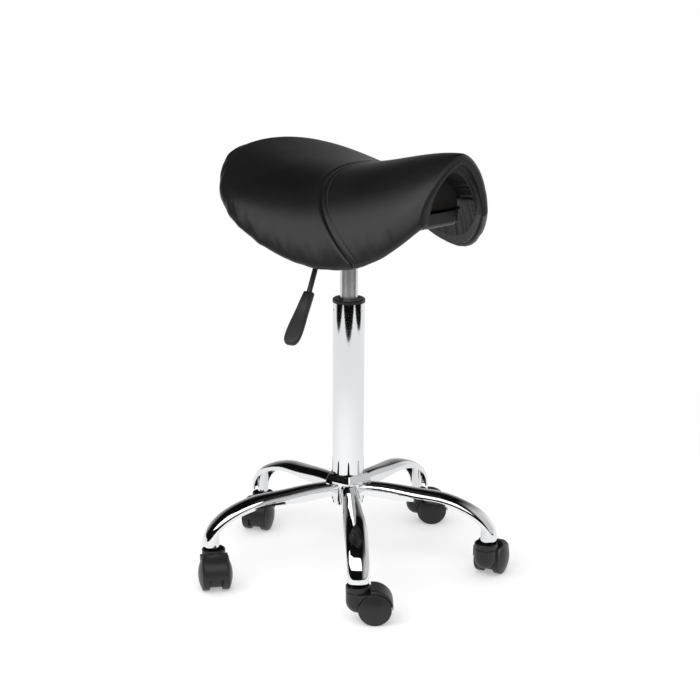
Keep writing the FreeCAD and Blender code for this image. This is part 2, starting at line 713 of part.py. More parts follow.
def grip_section(along, width, thickness):
    """A rounded flat section of the grip across +X."""
    half = width / 2
    nose = thickness / 2
    flat = half - 0.7 * nose
    return Part.Wire([
        Part.Arc(Vector(along, flat, -nose), Vector(along, half, 0), Vector(along, flat, nose)).toShape(),
        Part.Arc(Vector(along, flat, nose), Vector(along, 0, nose * 1.06), Vector(along, -flat, nose)).toShape(),
        Part.Arc(Vector(along, -flat, nose), Vector(along, -half, 0), Vector(along, -flat, -nose)).toShape(),
        Part.Arc(Vector(along, -flat, -nose), Vector(along, 0, -nose * 1.06), Vector(along, flat, -nose)).toShape(),
    ])


def lever_grip():
    """A flat paddle with a narrow neck, in its own frame: length along +X, thickness along Z."""
    shares = [(0.0, 0.62, 0.9), (0.03, 0.66, 1.0), (0.35, 0.8, 1.0), (0.68, 0.98, 1.0), (0.85, 0.97, 0.97),
              (0.94, 0.82, 0.9), (0.985, 0.58, 0.7), (1.0, 0.4, 0.42)]
    sections = [grip_section(along * grip_length, wide * grip_width, thick * grip_thickness)
                for along, wide, thick in shares]
    return Part.makeLoft(sections, True, False)


def make_lever():
    points = lever_path()
    rod = bent_rod(points, [lever_bend_radius, 45.0], lever_rod_diameter / 2)
    pin_length = lever_bracket_width - 2.0
    pin = Part.makeCylinder(lever_pin_diameter / 2, pin_length,
                            Vector(lever_pivot_reach, -pin_length / 2, lever_z), Vector(0, 1, 0))
    save("lever_rod", turn_z(rod.fuse(pin), lever_angle))
    grip = lever_grip()
    slope = lever_drop_angle - lever_grip_turn
    grip.Placement = FreeCAD.Placement(points[2], FreeCAD.Rotation(Vector(0, 1, 0), slope))
    knee_inset = 3.0
    along = (points[3] - points[2]).normalize()
    grip.translate(along * (-knee_inset))
    bored = grip.cut(rod)
    save("lever_grip", turn_z(bored, lever_angle))


# Saddle seat. Forward distance runs along -Y from the column's axis.
def share_between(value, start, end):
    return min(1.0, max(0.0, (value - start) / (end - start)))


def plan_half_width(forward):
    if forward < seat_widest_at:
        share = share_between(forward, seat_widest_at, -seat_rear)
        return seat_half_width * (1 - share ** rear_plan_power) ** (1 / rear_plan_power)
    share = share_between(forward, seat_widest_at, seat_front)
    flare = math.sqrt(max(0.0, 1 - share ** front_plan_power))
    return seat_nose_half_width + (seat_half_width - seat_nose_half_width) * flare


def edge_height(forward):
    if forward > flap_low_at:
        share = share_between(forward, flap_low_at, seat_front)
        return flap_low_z + (nose_edge_z - flap_low_z) * share ** nose_edge_power
    share = share_between(forward, flap_low_at, -seat_rear)
    return flap_low_z + (cantle_edge_z - flap_low_z) * share ** cantle_edge_power


def crown_height(forward):
    if forward > saddle_low_at:
        share = share_between(forward, saddle_low_at, seat_front) ** pommel_lead
        return saddle_low_z + (pommel_z - saddle_low_z) * share ** 2 * (3 - 2 * share)
    share = share_between(forward, saddle_low_at, -seat_rear)
    return saddle_low_z + (cantle_z - saddle_low_z) * share ** cantle_power


def arch_power(forward):
    share = share_between(forward, seat_widest_at, seat_front)
    return rear_arch_power + (front_arch_power - rear_arch_power) * share


def arch_point(forward, half_width, low, high, turn):
    """A point of the cross-section's arch. turn is 0 at the crown and 90 at the edge, either side."""
    power = 2.0 / arch_power(forward)
    angle = math.radians(abs(turn))
    across = half_width * math.sin(angle) ** power * (1 if turn > 0 else -1)
    return Vector(across, -forward, low + (high - low) * math.cos(angle) ** power)


def seat_station(forward, inset, roll):
    """Half width, edge, crown and underside at a station of the seat's skin moved inwards by inset."""
    low = edge_height(forward)
    high = crown_height(forward)
    steep = min(1.0, (high - low) / 110.0)
    half = plan_half_width(forward)
    centre = low + edge_roll * steep
    return half - inset, centre, high - inset, centre - roll + inset


def arch_arcs(forward, half, low, high):
    """Four arcs from the left edge over the crown to the right edge."""
    turns = (-90, -66, -44, -22, -0.001, 22, 44, 66, 90)
    points = [arch_point(forward, half, low, high, turn) for turn in turns]
    return [Part.Arc(points[i], points[i + 1], points[i + 2]).toShape() for i in (0, 2, 4, 6)]


def skin_section(forward, inset, shrink):
    """Closed section of the upholstered form, its lower edges rolled under."""
    roll = edge_roll - inset
    half, low, high, bottom = seat_station(forward, inset, edge_roll)
    half, high, bottom = half - shrink, high - shrink, bottom + shrink
    low = min(low, high - 2)
    roll_side = roll * (1 - math.sqrt(0.5))
    y = -forward
    drop = low - bottom
    left = [Vector(-half, y, low), Vector(-half + roll_side, y, low - 0.7071 * drop),
            Vector(-half + roll, y, bottom)]
    right = [Vector(half - roll, y, bottom), Vector(half - roll_side, y, low - 0.7071 * drop),
             Vector(half, y, low)]
    edges = arch_arcs(forward, half, low, high)
    edges.append(Part.Arc(right[2], right[1], right[0]).toShape())
    edges.append(Part.makeLine(right[0], left[2]))
    edges.append(Part.Arc(left[2], left[1], left[0]).toShape())
    return Part.Wire(edges)


def end_shrink(distance, radius):
    """How far a rounded end draws the section in at a distance from the end."""
    if distance >= radius:
        return 0.0
    return radius - math.sqrt(radius ** 2 - (radius - distance) ** 2)


def seat_form(inset):
    """The upholstered form, or the same form moved inwards by inset."""
    wires = []
    front = seat_front - inset
    rear = seat_rear - inset
    radius = edge_roll
    spots = [front - d for d in (0.6, 4.0, 13.0)]
    spots += [195, 160, 120, 80, 36, -8, -52, -90, -120, -143, -158]
    spots += [-(rear - d) for d in (9.0, 4.0, 1.2)]
    for forward in spots:
        gap = min(front - forward, forward + rear)
        nose = end_shrink(gap, radius) if forward > 0 else 0.5 * end_shrink(gap, 9.0)
        wires.append(skin_section(forward, inset, nose))
    return Part.makeLoft(wires, True, False)


def hollow_form(side_inset, crown_inset, front, rear, foot_rise):
    """A solid that fills the seat's arch, moved inwards, down to a height set from the flaps' edge."""
    wires = []
    steps = 10
    for index in range(steps + 1):
        forward = blend(front, -rear, index / steps)
        half, low, high, bottom = seat_station(forward, 0, edge_roll)
        middle = math.sin(math.pi * share_between(forward, -seat_rear, seat_front)) ** 0.7
        inner = max(half - side_inset, 10.0)
        crown = max(high - blend(crown_inset[0], crown_inset[1], middle), bottom + 3.0)
        spring = min(low, crown - 2.5)
        foot = min(bottom + foot_rise, spring - 1.0)
        y = -forward
        edges = arch_arcs(forward, inner, spring, crown)
        edges.append(Part.makeLine(Vector(inner, y, spring), Vector(inner, y, foot)))
        edges.append(Part.makeLine(Vector(inner, y, foot), Vector(-inner, y, foot)))
        edges.append(Part.makeLine(Vector(-inner, y, foot), Vector(-inner, y, spring)))
        wires.append(Part.Wire(edges))
    return Part.makeLoft(wires, True, False)


def ahead_of_seam():
    """Everything in front of the inclined plane that the seam between the two cover panels lies in."""
    top, foot = 800.0, 400.0
    side = seat_half_width + 20

    def seam_at(z):
        return seam_crown_at + seam_slope * (saddle_low_z - z)

    corners = [Vector(-side, -seam_at(top), top), Vector(-side, -seam_at(foot), foot),
               Vector(-side, -600, foot), Vector(-side, -600, top)]
    outline = Part.makePolygon(corners + corners[:1])
    return Part.Face(outline).extrude(Vector(2 * side, 0, 0))


def largest(shape):
    return sorted(shape.Solids, key=lambda s: s.Volume)[-1]


def make_seat():
    skin = seat_form(0.0)
    padding = seat_form(cover_thickness)
    side = 2 * edge_roll
    arch = hollow_form(side, (foam_edge, foam_middle), seat_front + 12, seat_rear - 14, -20.0)
    cover = skin.cut(padding).cut(arch)
    foam = padding.cut(arch)
    outer = hollow_form(side, (foam_edge, foam_middle), seat_front + 12, seat_rear - 14, shell_edge_setback)
    inner = hollow_form(side + shell_thickness, (foam_edge + shell_thickness, foam_middle + shell_thickness),
                        seat_front + 14, seat_rear - 24, -20.0)
    clip = Part.makeBox(800, seat_front - shell_edge_setback + 400, 800,
                        Vector(-400, -(seat_front - shell_edge_setback), 200))
    outer = outer.common(clip)
    shell = outer.cut(inner)
    pad = board_slab(board_top_z, saddle_low_z, 0.0).common(outer)
    room = board_slab(pan_floor_z - 60, board_top_z, 1.0)
    shell = shell.cut(room).fuse(pad)
    ahead = ahead_of_seam()
    save("cover_front_panel", largest(cover.common(ahead)))
    save("cover_rear_panel", largest(cover.cut(ahead)))
    save("seat_foam", largest(foam))
    save("seat_shell", largest(shell))


make_base()
make_casters()
make_column()
make_cylinder()
make_seat_plate()
make_board()
make_lever()
make_seat()
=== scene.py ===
"""Finished look of the saddle stool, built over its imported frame.

Metres, +Z up. The rider faces -Y, towards the pommel, and the lever hangs at their right hand, at -X.
The upholstery is worked out in millimetres from the saddle's own curves and scaled when it becomes a mesh.
"""

import json
import math

import bmesh
import bpy
import numpy as np
from mathutils import Matrix, Vector


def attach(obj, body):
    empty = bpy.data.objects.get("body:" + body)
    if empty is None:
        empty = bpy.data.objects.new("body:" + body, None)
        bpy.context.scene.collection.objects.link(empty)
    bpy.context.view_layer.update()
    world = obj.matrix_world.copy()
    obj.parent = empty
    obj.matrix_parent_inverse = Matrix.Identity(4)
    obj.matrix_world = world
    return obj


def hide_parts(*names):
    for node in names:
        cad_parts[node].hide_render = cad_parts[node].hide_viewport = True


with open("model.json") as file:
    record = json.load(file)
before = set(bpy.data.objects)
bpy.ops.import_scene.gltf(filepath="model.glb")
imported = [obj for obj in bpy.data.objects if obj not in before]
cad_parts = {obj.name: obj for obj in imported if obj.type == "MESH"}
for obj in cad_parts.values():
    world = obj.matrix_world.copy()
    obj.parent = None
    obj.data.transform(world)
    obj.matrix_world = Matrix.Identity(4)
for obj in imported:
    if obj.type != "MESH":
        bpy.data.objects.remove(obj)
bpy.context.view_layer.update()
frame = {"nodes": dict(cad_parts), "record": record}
MM = 0.001


# ---- Shader expressions

class Wire:
    """One output socket. Arithmetic on it adds Math nodes."""

    def __init__(self, graph, socket):
        self.graph = graph
        self.socket = socket

    def __add__(self, other):
        return self.graph.math("ADD", self, other)

    def __sub__(self, other):
        return self.graph.math("SUBTRACT", self, other)

    def __rsub__(self, other):
        return self.graph.math("SUBTRACT", other, self)

    def __mul__(self, other):
        return self.graph.math("MULTIPLY", self, other)

    __radd__ = __add__
    __rmul__ = __mul__

    def output(self, name):
        """Another output of the node that this one belongs to."""
        return Wire(self.graph, self.socket.node.outputs[name])


class Graph:
    """A node tree that is written as expressions."""

    def __init__(self, tree):
        self.tree = tree
        tree.nodes.clear()

    def node(self, kind, settings=None, values=None, output=0):
        """Adds a node, links or sets its inputs and gives one of its outputs."""
        made = self.tree.nodes.new(kind)
        for name, value in (settings or {}).items():
            setattr(made, name, value)
        for name, value in (values or {}).items():
            if isinstance(value, Wire):
                self.tree.links.new(value.socket, made.inputs[name])
            else:
                made.inputs[name].default_value = value
        return Wire(self, made.outputs[output]) if made.outputs else None

    def math(self, operation, first, second):
        return self.node("ShaderNodeMath", {"operation": operation}, {0: first, 1: second})

    def smooth(self, value, low, high):
        """0 below low, 1 above high and a smooth step between."""
        return self.node("ShaderNodeMapRange", {"interpolation_type": "SMOOTHSTEP"},
                         {"Value": value, "From Min": low, "From Max": high, "To Min": 0.0, "To Max": 1.0})

    def blend(self, share, first, second):
        """Colour that goes from first to second with share."""
        return self.node("ShaderNodeMix", {"data_type": "RGBA"}, {0: share, 6: first, 7: second}, 2)

    def noise(self, where, scale, detail=3.0, rough=0.5):
        return self.node("ShaderNodeTexNoise", {}, {"Vector": where, "Scale": scale, "Detail": detail,
                                                    "Roughness": rough})

    def stretched(self, where, scales):
        return self.node("ShaderNodeMapping", {}, {"Vector": where, "Scale": scales})

    def bump(self, height, strength, distance, under=None):
        values = {"Height": height, "Strength": strength, "Distance": distance}
        if under is not None:
            values["Normal"] = under
        return self.node("ShaderNodeBump", {}, values)


def rgb(red, green, blue):
    return (red, green, blue, 1.0)


def new_material(name):
    material = bpy.data.materials.new(name)
    material.use_nodes = True
    graph = Graph(material.node_tree)
    where = graph.node("ShaderNodeTexCoord", output="Object")
    return material, graph, where


def close_material(graph, values):
    shader = graph.node("ShaderNodeBsdfPrincipled", {}, values)
    graph.node("ShaderNodeOutputMaterial", {}, {"Surface": shader})


def leatherette():
    """Black coated cloth: small pebbles with creases between them, softly shining."""
    material, graph, where = new_material("leatherette")
    pebbles = graph.node("ShaderNodeTexVoronoi", {"feature": "F1"},
                         {"Vector": where, "Scale": 820.0, "Randomness": 1.0})
    drift = graph.noise(where, 9.0, 3.0)
    fine = graph.noise(where, 2600.0, 2.0)
    soft = graph.noise(where, 26.0, 4.0, 0.55)
    tone = graph.blend(graph.smooth(drift + soft * 0.5, 0.55, 0.95), rgb(0.0036, 0.0036, 0.0038),
                       rgb(0.0060, 0.0060, 0.0062))
    rough = 0.33 + drift * 0.07 + fine * 0.05
    grain = graph.bump(1.0 - pebbles + fine * 0.35, 0.16, 0.0004)
    hand = graph.bump(soft, 0.10, 0.004, grain)
    close_material(graph, {"Base Color": tone, "Roughness": rough, "Normal": hand,
                           "Specular IOR Level": 0.36})
    return material


def lining():
    """The coated cloth's turned-in edge, seen inside the arch."""
    material, graph, where = new_material("leatherette_turned_in")
    weave = graph.noise(where, 1400.0, 2.0)
    soft = graph.noise(where, 40.0, 3.0)
    tone = graph.blend(soft, rgb(0.0045, 0.0045, 0.0047), rgb(0.008, 0.008, 0.0082))
    close_material(graph, {"Base Color": tone, "Roughness": 0.55 + soft * 0.1,
                           "Normal": graph.bump(weave, 0.12, 0.0004), "Specular IOR Level": 0.3})
    return material


def thread():
    """Black sewing thread: a fine twist that is a little lighter than the cloth."""
    material, graph, where = new_material("seam_thread")
    twist = graph.noise(where, 3000.0, 2.0)
    tone = graph.blend(twist, rgb(0.014, 0.014, 0.015), rgb(0.05, 0.05, 0.052))
    close_material(graph, {"Base Color": tone, "Roughness": 0.55 + twist * 0.1,
                           "Normal": graph.bump(twist, 0.3, 0.0002)})
    return material


def polished(name, colour, base_rough, streaks):
    """Plated or polished metal: a hard mirror with faint wiping marks along streaks."""
    material, graph, where = new_material(name)
    wiped = graph.noise(graph.stretched(where, streaks), 1.0, 4.0, 0.6)
    broad = graph.noise(where, 14.0, 2.0)
    rough = base_rough + wiped * 0.035 + broad * 0.02
    tone = graph.blend(broad, rgb(*[c * 0.97 for c in colour]), rgb(*colour))
    ripple = graph.bump(graph.noise(where, 55.0, 2.0), 0.012, 0.002)
    close_material(graph, {"Base Color": tone, "Metallic": 1.0, "Roughness": rough, "Normal": ripple})
    return material


def painted_steel():
    """Black powder coat: a slight orange peel."""
    material, graph, where = new_material("black_powder_coat")
    peel = graph.noise(where, 900.0, 2.0)
    broad = graph.noise(where, 20.0, 2.0)
    tone = graph.blend(broad, rgb(0.006, 0.006, 0.0063), rgb(0.011, 0.011, 0.0113))
    close_material(graph, {"Base Color": tone, "Roughness": 0.34 + broad * 0.1,
                           "Normal": graph.bump(peel, 0.14, 0.0004), "Specular IOR Level": 0.4})
    return material


def moulded(name, dark, light, base_rough, texture):
    """Moulded nylon: a fine spark-eroded texture and slight flow marks."""
    material, graph, where = new_material(name)
    speck = graph.noise(where, 1500.0, 2.0)
    flow = graph.noise(where, 30.0, 3.0)
    tone = graph.blend(flow, rgb(*dark), rgb(*light))
    close_material(graph, {"Base Color": tone, "Roughness": base_rough + flow * 0.1 + speck * 0.06,
                           "Normal": graph.bump(speck, texture, 0.0004), "Specular IOR Level": 0.36})
    return material


def rubber():
    """Dull black rubber with some dust."""
    material, graph, where = new_material("bumper_rubber")
    dust = graph.noise(where, 300.0, 4.0)
    close_material(graph, {"Base Color": graph.blend(dust, rgb(0.02, 0.02, 0.02), rgb(0.035, 0.034, 0.033)),
                           "Roughness": 0.7 + dust * 0.15, "Normal": graph.bump(dust, 0.2, 0.0005)})
    return material


def stained_plywood():
    """Black-stained ply: layers across its edge, open grain on its faces."""
    material, graph, where = new_material("stained_plywood")
    grain = graph.noise(graph.stretched(where, (90.0, 9.0, 90.0)), 3.0, 5.0, 0.6)
    height = graph.node("ShaderNodeSeparateXYZ", {}, {"Vector": where}, "Z")
    ply = 0.0015
    layers = graph.math("PINGPONG", height, ply) * (1.0 / ply)
    tone = graph.blend(graph.smooth(grain * 0.7 + layers * 0.3, 0.3, 0.7), rgb(0.006, 0.005, 0.0045),
                       rgb(0.017, 0.014, 0.012))
    close_material(graph, {"Base Color": tone, "Roughness": 0.6 + grain * 0.2,
                           "Normal": graph.bump(grain, 0.25, 0.0006)})
    return material


def foam():
    """Cream cushion foam with open cells, with painted shade darkening the cells' pits."""
    material, graph, where = new_material("cushion_foam")
    cells = graph.node("ShaderNodeTexVoronoi", {"feature": "F1"}, {"Vector": where, "Scale": 700.0})
    # Painted shade: the colour darkens towards each cell's middle, where the bump below sinks it into a pit.
    tone = graph.blend(cells, rgb(0.42, 0.40, 0.33), rgb(0.62, 0.60, 0.52))
    close_material(graph, {"Base Color": tone, "Roughness": 0.8 + cells * 0.1,
                           "Normal": graph.bump(cells, 0.4, 0.001)})
    return material


finishes = {
    "leatherette": leatherette(),
    "chrome": polished("chrome_plate", (0.76, 0.765, 0.775), 0.02, (12.0, 12.0, 60.0)),
    "steel": polished("bright_steel", (0.56, 0.56, 0.57), 0.22, (90.0, 90.0, 400.0)),
    "aluminium": polished("turned_aluminium", (0.70, 0.70, 0.71), 0.25, (40.0, 40.0, 900.0)),
    "black_steel": painted_steel(),
    "black_plastic": moulded("black_nylon", (0.008, 0.008, 0.0084), (0.014, 0.014, 0.0144), 0.34, 0.10),
    "wheel_nylon": moulded("wheel_nylon", (0.008, 0.008, 0.0084), (0.013, 0.013, 0.0134), 0.30, 0.05),
    "shell_plastic": moulded("shell_polypropylene", (0.010, 0.010, 0.0105), (0.018, 0.018, 0.0185), 0.5, 0.16),
    "rubber": rubber(),
    "plywood": stained_plywood(),
    "foam": foam(),
}
turned_in = lining()
seam_thread = thread()
cylinder_chrome = polished("cylinder_chrome", (0.66, 0.665, 0.675), 0.24, (10.0, 10.0, 200.0))

slots = {part["node"]: part["material_slot"] for part in frame["record"]["subparts"]}
for node, piece in frame["nodes"].items():
    material = cylinder_chrome if node == "gas_cylinder" else finishes[slots[node]]
    piece.data.materials.clear()
    piece.data.materials.append(material)


# ---- Meshes

def grid_faces(rows, columns, closed_columns=False):
    """Quads of a grid of points numbered row by row."""
    row = np.arange(rows - 1)[:, None]
    column = np.arange(columns if closed_columns else columns - 1)[None, :]
    after = (column + 1) % columns
    corners = [row * columns + column, row * columns + after, (row + 1) * columns + after,
               (row + 1) * columns + column]
    return np.stack([np.broadcast_to(c, (rows - 1, column.size)) for c in corners], -1).reshape(-1, 4)


def make_mesh(name, points, faces, materials, body, face_material=None):
    """A smooth mesh from points in millimetres and rows of quads, riding on a body."""
    mesh = bpy.data.meshes.new(name)
    mesh.from_pydata((np.asarray(points, float) * MM).tolist(), [], np.asarray(faces).tolist())
    for material in materials:
        mesh.materials.append(material)
    if face_material is not None:
        mesh.polygons.foreach_set("material_index", np.asarray(face_material, np.int32))
    mesh.polygons.foreach_set("use_smooth", np.ones(len(mesh.polygons), bool))
    mesh.update()
    piece = bpy.data.objects.new(name, mesh)
    bpy.context.scene.collection.objects.link(piece)
    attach(piece, body)
    return piece


def weld(piece, distance=0.00002):
    """Merges coincident points, drops what has no area and turns the faces outwards."""
    work = bmesh.new()
    work.from_mesh(piece.data)
    bmesh.ops.remove_doubles(work, verts=work.verts, dist=distance)
    bmesh.ops.dissolve_degenerate(work, dist=distance * 0.5, edges=work.edges)
    bmesh.ops.recalc_face_normals(work, faces=work.faces)
    work.to_mesh(piece.data)
    work.free()
    piece.data.update()


def share(value, start, end):
    """How far a value has come from start to end, held between 0 and 1."""
    return np.clip((value - start) / (end - start), 0.0, 1.0)


def swell(value, middle, width):
    """A smooth hump, 1 at the middle and fading over the width."""
    return np.exp(-((value - middle) / width) ** 2)


def step(value, low, high):
    """0 below low, 1 above high, smooth between."""
    part = share(value, low, high)
    return part * part * (3 - 2 * part)


# ---- Saddle form: forward is counted along -Y, all in mm

# ends and half widths of the plan, the lower edge, the crown line, the arch's power, the foam and the seam
SEAT = {"front": 230.0, "rear": 177.0, "half": 179.0, "widest": -55.0, "nose_half": 34.0,
        "rear_plan": 2.2, "front_plan": 1.32,
        "low": 518.0, "low_at": 91.0, "nose_edge": 611.0, "nose_edge_power": 2.4,
        "cantle_edge": 667.0, "cantle_edge_power": 1.86,
        "saddle_low": 652.0, "saddle_at": -8.0, "pommel": 687.0, "pommel_lead": 1.07,
        "cantle": 671.0, "cantle_power": 1.84, "front_arch": 1.71, "rear_arch": 2.14,
        "roll": 7.0, "steep_height": 110.0, "middle_foam": 34.0, "edge_foam": 14.0,
        "seam_at": 22.0, "seam_slope": 0.92, "front_slant": 9.0, "rear_gap": 0.15}

# groove, puff and stitch line by the seam, slack along the lower edge, and the turned-in band inside
CLOTH = {"groove": 2.2, "groove_fade": 1.0, "puff": 0.45, "puff_at": 4.5, "puff_width": 3.5,
         "stitches_at": 9.0, "stitch_dent": 0.4, "stitch_dent_width": 1.1,
         "slack": 0.9, "slack_width": 26.0, "pull": 0.3, "pull_at": 22.0, "side_starts": (40.0, 120.0),
         "ledge": 8.6, "ledge_at": (12.0, 20.0), "band": 6.5, "band_ends": (62.0, 70.0),
         "gathers": 0.9, "pleats": 0.8, "pleat_pitch": 8.5, "welts_at": (14.0, 20.5), "welt_width": 1.7}

# the rear rim thins like a lens over its last length, round one height, and less towards the flaps
RIM = {"length": 4.5, "thinnest": 0.08, "height": 665.4, "fades": (30.0, 150.0)}

ROLL_STEPS = 9
CAP_STEPS = 6
LINING_ON_ROLL = 3
SEAM_STEPS = np.array([0.0, 0.7, 1.4, 2.2, 3.1, 4.2, 5.5, 7.0, 8.5, 10.0, 11.2, 12.2, 13.2, 14.4, 16.0, 18.0,
                       20.5, 23.5])


def plan_half(u):
    """Half width of the plan: a superellipse behind its widest place, a flared curve ahead of it."""
    s = SEAT
    rounded = 1 - share(u, s["widest"], -s["rear"]) ** s["rear_plan"]
    behind = s["half"] * rounded ** (1 / s["rear_plan"])
    flare = np.sqrt(np.maximum(0, 1 - share(u, s["widest"], s["front"]) ** s["front_plan"]))
    ahead = s["nose_half"] + (s["half"] - s["nose_half"]) * flare
    return np.where(u < s["widest"], behind, ahead)


def edge_z(u):
    """Height of the lower edge: lowest on the flaps, rising by a power towards either end."""
    s = SEAT
    to_nose = share(u, s["low_at"], s["front"]) ** s["nose_edge_power"]
    to_cantle = share(u, s["low_at"], -s["rear"]) ** s["cantle_edge_power"]
    ahead = s["low"] + (s["nose_edge"] - s["low"]) * to_nose
    behind = s["low"] + (s["cantle_edge"] - s["low"]) * to_cantle
    return np.where(u > s["low_at"], ahead, behind)


def crown_z(u):
    """Height of the crown line: a smooth step up to the pommel, a power curve up to the cantle."""
    s = SEAT
    lead = share(u, s["saddle_at"], s["front"]) ** s["pommel_lead"]
    to_cantle = share(u, s["saddle_at"], -s["rear"]) ** s["cantle_power"]
    ahead = s["saddle_low"] + (s["pommel"] - s["saddle_low"]) * lead ** 2 * (3 - 2 * lead)
    behind = s["saddle_low"] + (s["cantle"] - s["saddle_low"]) * to_cantle
    return np.where(u > s["saddle_at"], ahead, behind)


def arch_power(u):
    """Power of the arch's sine and cosine: two over its superellipse exponent, which falls to the front."""
    s = SEAT
    return 2 / (s["rear_arch"] + (s["front_arch"] - s["rear_arch"]) * share(u, s["widest"], s["front"]))


def section(u):
    """Half width, spring height and crown height of the outer arch at u."""
    high, low = crown_z(u), edge_z(u)
    steep = np.minimum(1.0, (high - low) / SEAT["steep_height"])
    return plan_half(u), low + SEAT["roll"] * steep, high


def outer_point(u, turn):
    """Point of the upholstery's outside at u, where turn is 0 at the crown and 90 degrees at the edge.

    x = half sin(turn) ** power and z = spring + (high - spring) cos(turn) ** power, with x keeping its sign.
    """
    half, spring, high = section(u)
    power = arch_power(u)
    x = half * np.sign(turn) * np.abs(np.sin(turn)) ** power
    z = spring + (high - spring) * np.abs(np.cos(turn)) ** power
    return np.stack([x, -u, z], -1)


def seam_forward(turn, ahead=0.0):
    """Forward place where the seam's inclined plane, moved ahead, meets the outside at each turn."""
    u = np.full_like(turn, SEAT["seam_at"])
    for _ in range(60):
        z = outer_point(u, turn)[..., 2]
        u = 0.5 * u + 0.5 * (SEAT["seam_at"] + ahead + SEAT["seam_slope"] * (SEAT["saddle_low"] - z))
    return u


def line_length(line):
    """Length along a line of points, from its start to each of them."""
    return np.concatenate([[0], np.cumsum(np.linalg.norm(np.diff(line, axis=0), axis=1))])


def even_turns(count, at=60.0):
    """Arch angles spaced so that points lie evenly along the section at one forward place."""
    fine = np.linspace(-math.pi / 2, math.pi / 2, 2001)
    length = line_length(outer_point(np.full_like(fine, at), fine))
    return np.interp(np.linspace(0, length[-1], count), length, fine)


TURNS = even_turns(141)
SEAM_PLANE_SCALE = 1 / math.sqrt(1 + SEAT["seam_slope"] ** 2)


def gap_from_seam(forwards):
    """Distance of each point from the seam's plane."""
    z = outer_point(forwards, np.broadcast_to(TURNS, forwards.shape))[..., 2]
    plane = forwards - SEAT["seam_at"] - SEAT["seam_slope"] * (SEAT["saddle_low"] - z)
    return np.abs(plane) * SEAM_PLANE_SCALE


def row_normals(points, upwards):
    """Unit normals of a grid of points, from its two directions, so that the middle one points up or down."""
    normal = np.cross(np.gradient(points, axis=0), np.gradient(points, axis=1))
    normal = normal / np.maximum(np.linalg.norm(normal, axis=-1, keepdims=True), 1e-9)
    middle = normal[points.shape[0] // 2, points.shape[1] // 2, 2]
    return normal if (middle > 0) == upwards else -normal


def ripples(place, seed):
    """Irregular folds along a line: half the sum of five sines of unequal length."""
    waves = ((31.0, 0.7), (19.0, 1.0), (12.3, 0.8), (8.1, 0.5), (5.3, 0.25))
    total = sum(size * np.sin(2 * math.pi * place / length + seed * (k + 1.7))
                for k, (length, size) in enumerate(waves))
    return total / 2.0


# ---- Covers

def free_edges(forwards, outside, front_panel):
    """Distances over the cloth: along the arch from its middle, and from the nearer side, front and rear."""
    steps = np.linalg.norm(np.diff(outside, axis=1), axis=-1)
    from_left = np.concatenate([np.zeros((forwards.shape[0], 1)), np.cumsum(steps, 1)], 1)
    from_side = np.minimum(from_left, from_left[:, -1:] - from_left)
    front = forwards[-1:] + SEAT["roll"] if front_panel else SEAT["front"]
    return from_left - from_left[:, -1:] / 2, from_side, front - forwards, forwards + SEAT["rear"]


def dressed_outside(plain, forwards, seam_gap, edges, front_panel):
    """The outside moved along its normals: a dip at the seam, a puff beside it, slack by the lower edge."""
    c = CLOTH
    _, from_side, from_front, from_rear = edges
    dip = -c["groove"] * np.exp(-seam_gap / c["groove_fade"])
    dip = dip + c["puff"] * swell(seam_gap, c["puff_at"], c["puff_width"])
    if front_panel:
        dip = dip - c["stitch_dent"] * swell(seam_gap, c["stitches_at"], c["stitch_dent_width"])
    near_side = step(-plain[..., 0], *c["side_starts"])
    far_side = step(plain[..., 0], *c["side_starts"])
    folds = near_side * ripples(forwards * 0.4, 1.3) + far_side * ripples(forwards * 0.45, 4.1)
    slack = swell(from_side, 0.0, c["slack_width"]) * c["slack"] * folds
    pulled = c["pull"] * ripples(forwards * 0.7 + from_side * 0.35, 2.2)
    pulled = pulled * swell(from_side, c["pull_at"], c["slack_width"])
    quiet_ends = step(from_front, 0.0, 12.0) * step(from_rear, 2.0, 30.0)
    lift = dip + (slack + pulled) * quiet_ends * step(seam_gap, 2.0, 12.0)
    return plain + row_normals(plain, True) * lift[..., None]


def turned_in_inside(forwards, turn, seam_gap, edges):
    """The inside: the cloth turns round the foam's edge, over the shell's rim, and ends tacked to the shell.

    A smaller arch of the same kind, inset by the foam, the ledge and the band, with gathers, pleats and welts.
    """
    s, c = SEAT, CLOTH
    arch_line, from_side, from_front, from_rear = edges
    half, spring, high = section(forwards)
    deep = np.minimum(from_side, np.minimum(from_front, from_rear * 2.0))
    ledge = c["ledge"] * step(deep, *c["ledge_at"])
    band = c["band"] * step(deep, *c["band_ends"])
    middle = np.sin(math.pi * share(forwards, -s["rear"], s["front"])) ** 0.7
    inset_side = 2 * s["roll"] + ledge - band
    inset_crown = s["edge_foam"] + (s["middle_foam"] - s["edge_foam"]) * middle + ledge - band
    bottom = spring - s["roll"]
    inner_half = np.maximum(half - inset_side, 0.35 * half)
    inner_crown = np.maximum(high - inset_crown, bottom + 0.4)
    inner_spring = np.minimum(spring, inner_crown - 0.3)
    power = arch_power(forwards)
    sine, cosine = np.sin(turn), np.cos(turn)
    plain = np.stack([inner_half * np.sign(sine) * np.abs(sine) ** power, -forwards,
                      inner_spring + (inner_crown - inner_spring) * np.abs(cosine) ** power], -1)
    by_front = step(from_side - from_front, -18.0, 18.0)
    gathers = ripples(forwards * 1.1, 0.6) * (1 - by_front) + ripples(arch_line * 1.25, 3.3) * by_front
    spread = step(deep, 8.0, 22.0) * (1 - step(deep, 46.0, 62.0))
    pleats = swell(arch_line, 4.0, 24.0) * by_front * swell(from_front, 14.0, 12.0)
    pleats = pleats * np.sin(arch_line * 2 * math.pi / c["pleat_pitch"])
    first, second = c["welts_at"]
    welts = swell(deep, first, c["welt_width"]) + swell(deep, second, c["welt_width"])
    inward = c["gathers"] * gathers * spread + c["pleats"] * pleats + welts * step(from_rear, 60.0, 120.0)
    return plain + row_normals(plain, False) * (inward * step(seam_gap, 0.0, 4.0))[..., None]


